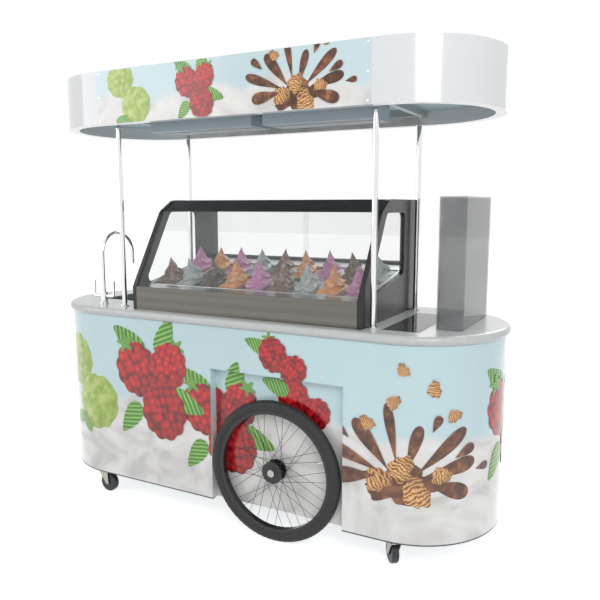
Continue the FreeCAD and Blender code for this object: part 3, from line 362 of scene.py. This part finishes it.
def moundRings(centerX, along, seed):
    # height rises to a peak; a spiral tier goes round three times, ridges twist by turn * rise,
    # and the plan goes from a rounded rectangle to a circle
    halfX, halfY = mound["half"]
    rng = np.random.default_rng(seed)
    lean = rng.uniform(-mound["lean"], mound["lean"], 2)
    turn = rng.uniform(*mound["turn"])
    angle = np.linspace(0, 2 * np.pi, mound["columns"], endpoint=False)
    rise = np.linspace(0, mound["last"], mound["rings"])[:, None]
    square = mound["squareness"]
    plan = (np.abs(np.cos(angle)) ** square + np.abs(np.sin(angle)) ** square) ** (-1 / square)
    ridge = 0.5 + 0.5 * np.cos(mound["ridges"] * angle + turn * rise + seed)
    tier = np.sin(2 * mound["tiers"] * np.pi * rise + angle + seed)
    spread = (1 - rise) ** 1.05 * (1 + mound["tier"] * tier * np.sin(np.pi * rise ** 0.5)
                                   - mound["ridgeCut"] * ridge ** 2 * np.sin(np.pi * rise ** 0.7))
    roundness = plan * (1 - rise) + rise
    across = halfX * roundness * spread * np.cos(angle) + lean[0] * rise ** 2
    deep = halfY * (1 - mound["narrowing"] * rise) * roundness * spread * np.sin(angle) + lean[1] * rise ** 2
    up = mound["foot"] + mound["peak"] * (0.75 * rise + 0.25 * rise ** 3)
    up = up + mound["ridge"] * ridge * np.sin(np.pi * rise)
    wall = np.stack([halfX * plan * np.cos(angle), halfY * plan * np.sin(angle),
                     np.full_like(angle, mound["bottom"])], -1)[None]
    local = np.concatenate([wall, np.stack([across, deep, up + 0 * across], -1)])
    cos, sin = math.cos(deckFrame["tilt"]), math.sin(deckFrame["tilt"])
    depth, lift = local[..., 1] + along, local[..., 2]
    x0, y0, z0 = deckFrame["corner"]
    return np.stack([local[..., 0] + centerX, y0 + depth * cos - lift * sin,
                     z0 + depth * sin + lift * cos], -1)


def iceCream():
    # one piece for each flavour, with its mounds placed by row and column of pans
    mounds = {name: [] for name in creamLook}
    for number, row in enumerate(panRows.values()):
        for column, fill in enumerate(row["fill"].split()):
            centerX = deckFrame["corner"][0] + (column - 4) * deckFrame["pitch"]
            mounds[fill].append(moundRings(centerX, row["place"], column * 3 + number))
    for name, solids in mounds.items():
        settings = creamLook[name]
        piece = closedRings("ice_cream_" + name, solids, creamMaterial(settings["flavor"], settings["color"]))
        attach(piece, "cart")
        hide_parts("ice_cream")
    print("ice cream")


# Big tyres with a grooved tread.

bigWheel = {"center": (0.26, 0.33), "sides": (("front", -0.386), ("rear", 0.386))}
tread = {"ring": 0.305, "section": 0.025, "groove": 0.0022, "blocks": 72, "blockShare": 0.72, "bend": 5,
         "crown": 0.25, "edge": 6, "middle": 0.3, "line": 0.24, "lineHalf": 0.07, "around": 432, "across": 48}


def tyres():
    # section radius = the tyre's less the groove's depth; grooves run round the crown and across it
    around = np.linspace(0, 2 * np.pi, tread["around"], endpoint=False)[:, None]
    section = np.linspace(0, 2 * np.pi, tread["across"], endpoint=False)[None]
    aside = np.abs(np.sin(section))
    crown = np.clip((np.cos(section) - tread["crown"]) * tread["edge"], 0, 1)
    across = np.sin(tread["blocks"] * around + tread["bend"] * np.sin(section)) > tread["blockShare"]
    across = across * (aside > tread["middle"])
    line = (np.abs(aside - tread["line"]) < tread["lineHalf"]) * (np.cos(section) > 0)
    radius = tread["section"] - tread["groove"] * crown * np.clip(across + line, 0, 1)
    reach = tread["ring"] + radius * np.cos(section)
    x, z = bigWheel["center"]
    for side, y in bigWheel["sides"]:
        points = np.stack([x + reach * np.cos(around), y + radius * np.sin(section),
                           z + reach * np.sin(around)], -1)
        piece = makeMesh("treaded_tyre_" + side, points.reshape(-1, 3),
                         gridFaces(tread["around"], tread["across"], True)[:, ::-1].tolist(), look["tyre"])
        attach(piece, "big_wheel_" + side)
        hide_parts("tyre_" + side)
    print("tyres")


# Printed fruit, as thin films following the outline of the wall.

def outlines(kind, angle):
    # x and y of the kind's edge at an angle, within -1..1
    cos, sin = np.cos(angle), np.sin(angle)
    if kind == "leaf":
        width = 0.42 * (1 + 0.10 * np.abs(np.sin(9 * angle)))
        return cos, width * sin * (1 - 0.45 * cos)
    if kind == "drop":
        return cos, 0.24 * sin * (1 + 0.8 * cos)
    radius = {
        "sepal": 0.45 + 0.55 * np.abs(np.cos(2.5 * angle)) ** 3,
        "scoop": 0.96 + 0.02 * np.cos(9 * angle) + 0.02 * np.cos(14 * angle + 1),
        "berry": 0.90 + 0.09 * np.abs(np.sin(5.5 * angle)),
        "nut": 0.82 + 0.10 * np.cos(3 * angle + 1) + 0.07 * np.cos(7 * angle),
        "splash": 0.74 + 0.10 * np.cos(5 * angle) + 0.08 * np.cos(9 * angle + 2) + 0.05 * np.cos(14 * angle),
    }[kind]
    return radius * cos, radius * sin


# how far each kind darkens away from its lit side, and to what colour
printShade = {
    "scoop": (0.30, (0.16, 0.27, 0.02)), "berry": (0.45, (0.07, 0.008, 0.004)),
    "leaf": (0.25, (0.02, 0.10, 0.01)), "nut": (0.5, (0.07, 0.008, 0.004)),
    "splash": (0.2, (0.07, 0.008, 0.004)), "drop": (0.2, (0.07, 0.008, 0.004)),
    "sepal": (0.3, (0.02, 0.10, 0.01)),
}


def printMaterial(kind):
    # the print attribute holds each patch's own x, y in -1..1 and a number that varies the pattern
    shader = Shader("print_" + kind, **{"Coat Weight": 0.4, "Coat Roughness": 0.1})
    where = shader.add("ShaderNodeAttribute", {"attribute_name": "print"}, output=1)
    flat = shader.add("ShaderNodeVectorMath", {"operation": "MULTIPLY"}, {0: where, 1: (1, 1, 0)})
    away = shader.add("ShaderNodeVectorMath", {"operation": "DISTANCE"},
                      {0: flat, 1: (-0.3, 0.35, 0)}, output=1)
    if kind == "berry":
        cells = shader.add("ShaderNodeTexVoronoi", {}, {"Vector": where, "Scale": 3.6, "Randomness": 0.55})
        base = shader.ramp(cells, [(0.0, (0.95, 0.22, 0.18)), (0.13, (0.80, 0.022, 0.022)),
                                   (0.5, (0.52, 0.008, 0.015)), (0.75, (0.16, 0.0, 0.004))])
        height = 1 - cells
    elif kind == "nut":
        bands = shader.add("ShaderNodeTexWave", {}, {"Vector": where, "Scale": 1.5, "Distortion": 9.0,
                                                    "Detail Scale": 1.6})
        base = shader.ramp(bands, [(0.0, (0.20, 0.06, 0.015)), (0.4, (0.62, 0.27, 0.07)),
                                   (0.9, (0.90, 0.55, 0.24))])
        height = bands
    elif kind in ("leaf", "sepal"):
        veins = shader.add("ShaderNodeTexWave", {"bands_direction": "DIAGONAL"},
                           {"Vector": where, "Scale": 2.2, "Distortion": 1.2})
        base = shader.ramp(veins, [(0.0, (0.05, 0.22, 0.02)), (0.6, (0.14, 0.42, 0.05)),
                                   (1.0, (0.35, 0.62, 0.14))])
        height = veins
    else:
        tones = {"scoop": ((0.25, 0.42, 0.04), (0.43, 0.58, 0.10), (0.60, 0.72, 0.24))}.get(
            kind, ((0.05, 0.015, 0.006), (0.14, 0.045, 0.018), (0.42, 0.17, 0.07)))
        grain = shader.noise(where, 3.5 if kind == "scoop" else 2.0, 6.0)
        base = shader.ramp(grain, list(zip((0.32, 0.5, 0.68), tones)))
        height = grain
    dark, shadow = printShade[kind]
    shader.feed("Base Color", shader.mix(shader.mask(away, 0.4, 1.5) * dark, base, shadow))
    shader.feed("Roughness", height * 0.1 + 0.14)
    return shader.bump(height, 0.05)


# the walls that carry prints: half of the straight length, end radius, and windows as
# from, to along the wall and from, to in height
walls = {
    "body": {"half": 0.787, "radius": 0.391, "windows": [
        (-3.0, -0.0800, 0.133, 0.969), (-0.0800, 0.6000, 0.770, 0.969), (0.6000, 3.0, 0.133, 0.969)]},
    "bay": {"half": 0.787, "radius": 0.348, "windows": [(-0.0775, 0.5975, 0.134, 0.767)]},
    "bayRear": {"half": 0.787, "radius": 0.348, "rear": True,
                "windows": [(-0.0775, 0.5975, 0.134, 0.767)]},
    "fasciaRear": {"half": 0.743, "radius": 0.399, "rear": True,
                   "windows": [(-0.709, 0.709, 1.912, 2.157)]},
    "fascia": {"half": 0.743, "radius": 0.399, "windows": [(-0.709, 0.709, 1.912, 2.157)]},
}
film = {"lift": 0.0006, "step": 0.0003, "levels": 12, "rings": 26, "columns": 96, "leastArea": 1e-9,
        "variation": 0.37}


def wrap(wall, s, z, lift):
    # s runs along the wall from the middle of the front; past the straight part it turns round the end
    half, radius = wall["half"], wall["radius"]
    past = np.maximum(np.abs(s) - half, 0)
    angle = np.minimum(past / radius, np.pi)
    back = np.maximum(past - np.pi * radius, 0)
    x = np.sign(s) * (np.minimum(np.abs(s), half) - back + (radius + lift) * np.sin(angle))
    facing = 1 if wall.get("rear") else -1
    return np.stack([x, facing * (radius + lift) * np.cos(angle), z], -1)


def patch(wall, kind, spot, level):
    # a disc of rings with the kind's outline, cut along the edges of each window it meets;
    # a ring point is spot + its own x, y turned by the spot's turn
    s0, z0, width, height, turn = spot
    rings, columns = film["rings"], film["columns"]
    outX, outY = outlines(kind, np.linspace(0, 2 * np.pi, columns, endpoint=False))
    grow = np.linspace(0.01, 1, rings)[:, None]
    x, y = (grow * outX).ravel() * width, (grow * outY).ravel() * height
    cos, sin = math.cos(turn), math.sin(turn)
    faces = gridFaces(rings, columns)
    found = []
    for low, high, bottom, top in wall["windows"]:
        s = np.clip(s0 + x * cos - y * sin, low, high)
        z = np.clip(z0 + x * sin + y * cos, bottom, top)
        ds, dz = s[faces], z[faces]
        area = 0.5 * np.abs((ds[:, 2] - ds[:, 0]) * (dz[:, 3] - dz[:, 1])
                            - (ds[:, 3] - ds[:, 1]) * (dz[:, 2] - dz[:, 0]))
        kept = faces[area > film["leastArea"]]
        if len(kept) == 0:
            continue
        used, renamed = np.unique(kept, return_inverse=True)
        s, z = s[used], z[used]
        ownX = ((s - s0) * cos + (z - z0) * sin) / width
        ownY = ((z - z0) * cos - (s - s0) * sin) / height
        points = wrap(wall, s, z, film["lift"] + film["step"] * level)
        corners = renamed.reshape(-1, 4)
        if wall.get("rear"):
            corners = corners[:, ::-1]
        own = np.stack([ownX, ownY, np.full_like(s, level * film["variation"])], -1)
        found.append((points, corners, own))
    return found


# each patch of a group: kind, place along and up, half width, half height, turn
berryGroup = [("leaf", -0.10, 0.14, 0.080, 0.085, 2.5), ("leaf", 0.05, 0.17, 0.070, 0.075, 1.2),
              ("leaf", 0.13, -0.04, 0.075, 0.080, -0.3), ("leaf", -0.10, -0.12, 0.065, 0.070, -2.2),
              ("berry", -0.07, 0.05, 0.088, 0.098, 0.5), ("berry", 0.06, 0.07, 0.075, 0.086, -0.4),
              ("berry", 0.04, -0.08, 0.092, 0.100, 0.2), ("sepal", -0.115, 0.135, 0.040, 0.034, 0.5),
              ("sepal", 0.095, 0.140, 0.036, 0.030, -0.4)]
smallBerries = [("berry", 0.0, 0.0, 0.062, 0.070, 0.3), ("berry", 0.085, -0.05, 0.055, 0.062, -0.6),
                ("leaf", -0.07, 0.03, 0.055, 0.060, 2.8), ("sepal", -0.02, 0.060, 0.032, 0.026, 0.3)]
# each drop: reach from the middle of the splash, direction, length, thickness
dropSpread = [(0.17, 0.25, 0.09, 0.09), (0.18, 0.75, 0.11, 0.08), (0.14, 1.30, 0.08, 0.07),
              (0.20, 1.75, 0.10, 0.06), (0.17, 2.25, 0.10, 0.09), (0.19, 2.80, 0.11, 0.08),
              (0.17, 3.30, 0.08, 0.10), (0.24, 0.50, 0.04, 0.06), (0.27, 1.15, 0.03, 0.05),
              (0.28, 2.45, 0.04, 0.06), (0.16, -0.30, 0.08, 0.10), (0.29, 0.10, 0.03, 0.05)]
nutGroup = [("drop", reach * math.cos(way), 0.75 * reach * math.sin(way), long, thick, way)
            for reach, way, long, thick in dropSpread] + [
    ("splash", 0.0, -0.03, 0.17, 0.085, 0.1), ("nut", -0.08, -0.02, 0.060, 0.048, 0.5),
    ("nut", 0.05, -0.05, 0.070, 0.052, 2.0), ("nut", 0.0, 0.03, 0.058, 0.046, 1.1),
    ("nut", 0.13, 0.01, 0.042, 0.034, 0.2), ("nut", -0.12, 0.17, 0.034, 0.026, 2.6),
    ("nut", -0.03, 0.25, 0.032, 0.025, 0.9), ("nut", 0.10, 0.30, 0.034, 0.026, 1.7),
    ("nut", 0.17, 0.21, 0.030, 0.024, 0.4), ("nut", 0.00, 0.36, 0.028, 0.022, 2.2)]
scoopGroup = [("scoop", -0.06, 0.10, 0.125, 0.125, 0), ("scoop", 0.08, -0.08, 0.135, 0.13, 0.4),
              ("leaf", -0.05, -0.17, 0.06, 0.06, 0.4), ("leaf", 0.0, -0.19, 0.05, 0.05, 2.4)]
# on each wall: group, place along and up, scale
printLayout = {
    "body": [(scoopGroup, -0.90, 0.60, 1.15), (berryGroup, -0.42, 0.64, 1.5), (berryGroup, -0.03, 0.50, 1.35),
             (smallBerries, 0.26, 0.87, 1.2), (nutGroup, 0.86, 0.42, 1.25), (berryGroup, 1.46, 0.60, 1.35),
             (scoopGroup, 1.86, 0.55, 1.0), (berryGroup, -1.50, 0.48, 1.3), (nutGroup, -1.86, 0.60, 0.9)],
    "bay": [(berryGroup, -0.03, 0.50, 1.35), (smallBerries, 0.34, 0.68, 1.3)],
    "fasciaRear": [(nutGroup, 0.50, 1.99, 0.85), (berryGroup, 0.02, 2.03, 0.72),
                   (smallBerries, -0.22, 2.02, 0.8), (scoopGroup, -0.50, 2.04, 0.66)],
    "bayRear": [(berryGroup, 0.12, 0.58, 1.3), (smallBerries, 0.42, 0.66, 1.2)],
    "fascia": [(scoopGroup, -0.52, 2.04, 0.66), (berryGroup, -0.12, 2.03, 0.72),
               (nutGroup, 0.38, 1.99, 0.85)],
}


def prints():
    # on each wall, all patches of one kind make one piece; later patches lie a film's step higher
    materials = {kind: printMaterial(kind) for kind in printShade}
    for wallName, groups in printLayout.items():
        parts = {kind: [] for kind in materials}
        level = 0
        for group, s, z, scale in groups:
            for kind, ds, dz, width, height, turn in group:
                level = level % film["levels"] + 1
                spot = (s + ds * scale, z + dz * scale, width * scale, height * scale, turn)
                parts[kind] += patch(walls[wallName], kind, spot, level)
        for kind, patches in parts.items():
            if not patches:
                continue
            counts = np.cumsum([0] + [len(p[0]) for p in patches])
            corners = np.concatenate([p[1] + start for p, start in zip(patches, counts)]).tolist()
            piece = makeMesh(wallName + "_print_" + kind, np.concatenate([p[0] for p in patches]), corners,
                             materials[kind], np.concatenate([p[2] for p in patches]))
            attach(piece, "cart")
    print("prints")


iceCream()
tyres()
prints()


# Small fittings.

def turned(place, axis, profile, columns=32):
    # rings of a turned part: each (radius, along) pair makes one ring about the axis
    angle = np.linspace(0, 2 * np.pi, columns, endpoint=False)
    forward = Vector(axis).normalized()
    side = forward.orthogonal().normalized()
    up = forward.cross(side)
    steps = np.array(profile)
    return (np.array(place) + steps[:, 1, None, None] * np.array(forward)
            + steps[:, 0, None, None] * (np.cos(angle)[None, :, None] * np.array(side)
                                         + np.sin(angle)[None, :, None] * np.array(up)))


def block(low, high):
    # rings of a straight-sided block, bottom to top
    (x0, y0, z0), (x1, y1, z1) = low, high
    ring = np.array([(x0, y0), (x1, y0), (x1, y1), (x0, y1)])
    return np.stack([np.column_stack([ring, np.full(4, z)]) for z in (z0, z1)])


def fitting(name, body, solids, material, flat=False):
    # a small piece of closed solids under the given name, riding a body
    piece = closedRings(name, solids, material)
    if flat:
        piece.data.polygons.foreach_set("use_smooth", np.zeros(len(piece.data.polygons), dtype=bool))
    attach(piece, body)


# painted shade: thin black sheets standing for the dark openings under the lamp boxes
lampOpeningShade = {"ends": ((-0.50, 0.045), (0.144, 0.64)), "y": (-0.175, -0.125), "z": (1.8788, 1.8799)}
drain = {"center": (-0.82, -0.015), "floor": 0.0030,
         "profile": ((0.0210, 0.0), (0.0330, 0.0), (0.0345, 0.0008), (0.0330, 0.0018), (0.0225, 0.0018),
                     (0.0210, 0.0004))}
screw = {"x": (-0.695, 0.695), "z": (1.925, 2.035, 2.145), "y": 0.399,
         "profile": ((0.0050, -0.001), (0.0050, 0.0010), (0.0040, 0.0022), (0.0015, 0.0026),
                     (0.0010, 0.0016))}
lightStrip = ((-0.50, 0.045, 1.5220), (0.592, 0.075, 1.5309))
valve = {"rim": 0.2685, "angle": 0.35,
         "profile": ((0.0045, 0.0), (0.0045, 0.003), (0.0028, 0.004), (0.0028, 0.022), (0.0036, 0.023),
                     (0.0036, 0.032), (0.0022, 0.034))}


def fittings():
    # painted shade as thin black sheets where the openings under the lamps look dark, tyre valves, a ring
    # round the drain, fascia screws, a light in the display
    (y0, y1), (z0, z1) = lampOpeningShade["y"], lampOpeningShade["z"]
    # painted shade: black sheets where the openings under the lamps are dark
    shadeSheets = [block((x0, y0, z0), (x1, y1, z1)) for x0, x1 in lampOpeningShade["ends"]]
    fitting("lamp_opening_shade", "cart", shadeSheets, look["black"], flat=True)
    x, z = bigWheel["center"]
    cos, sin = math.cos(valve["angle"]), math.sin(valve["angle"])
    for side, y in bigWheel["sides"]:
        foot = (x + valve["rim"] * cos, y, z + valve["rim"] * sin)
        fitting("valve_" + side, "big_wheel_" + side,
                [turned(foot, (-cos, 0, -sin), valve["profile"])], look["chrome"])
    seat = (*drain["center"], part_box("sink_bowl")[0].z + drain["floor"])
    fitting("sink_drain_ring", "cart", [turned(seat, (0, 0, 1), drain["profile"])],
            look["chrome"])
    heads = [turned((x, screw["y"] * side, z), (0, side, 0), screw["profile"])
             for side in (-1, 1) for x in screw["x"] for z in screw["z"]]
    fitting("fascia_screws", "cart", heads, look["chrome"])
    fitting("display_light", "cart", [block(*lightStrip)], look["lamp"], flat=True)
    print("fittings")


fittings()


# Floor, light and camera.

backdrop = {"floorHalf": 30.0, "glow": (0.72, 0.72, 0.72), "unseenLight": 0.42}
lamps = {
    "key": {"place": (3.2, -3.6, 3.6), "size": 2.4, "power": 105},
    "fill": {"place": (-3.6, -3.2, 2.6), "size": 2.8, "power": 48},
    "back": {"place": (0.5, 3.6, 3.4), "size": 2.6, "power": 70},
}
view = {"place": (1.692, -2.847, 1.519), "yaw": 27.84, "pitch": -8.10, "lens": 39.5, "sensor": 36.0}


def backdropMaterial():
    # lit like matt paper, with a pale glow that only the camera and reflections see
    shader = Shader("paleFloor", Roughness=0.9, **{"Emission Strength": 1.0})
    shader.feed("Emission Color", shader.mix(shader.seenDirectly(), (0, 0, 0), backdrop["glow"]))
    return shader.material


def studio():
    # a wide floor, a white world that lights less than it shows, and three soft lamps
    reach = backdrop["floorHalf"]
    mesh = bpy.data.meshes.new("floor")
    corners = [(-reach, -reach, 0), (reach, -reach, 0), (reach, reach, 0), (-reach, reach, 0)]
    mesh.from_pydata(corners, [], [(0, 1, 2, 3)])
    floor = bpy.data.objects.new("floor", mesh)
    bpy.context.collection.objects.link(floor)
    setMaterial(floor, backdropMaterial())
    world = bpy.data.worlds.new("studio")
    bpy.context.scene.world = world
    world.use_nodes = True
    sky = Tree(world.node_tree, "Background")
    unseen = backdrop["unseenLight"]
    sky.feed("Strength", sky.seenDirectly() * (1 - unseen) + unseen)
    sky.end.inputs["Color"].default_value = (1, 1, 1, 1)
    for name, lamp in lamps.items():
        data = bpy.data.lights.new(name, "AREA")
        data.size = lamp["size"]
        data.energy = lamp["power"]
        light = bpy.data.objects.new(name, data)
        light.location = lamp["place"]
        light.rotation_euler = (Vector((0, 0, 1.0)) - light.location).to_track_quat("-Z", "Y").to_euler()
        bpy.context.collection.objects.link(light)


def camera():
    # the eye of the photo: yaw turns from +Y to the left, pitch looks down
    data = bpy.data.cameras.new("camera")
    data.lens = view["lens"]
    data.sensor_width = view["sensor"]
    eye = bpy.data.objects.new("camera", data)
    eye.location = view["place"]
    eye.rotation_euler = (math.radians(90 + view["pitch"]), 0, math.radians(view["yaw"]))
    bpy.context.collection.objects.link(eye)
    bpy.context.scene.camera = eye


studio()
camera()
bpy.context.scene.view_settings.view_transform = "Standard"
print("studio")
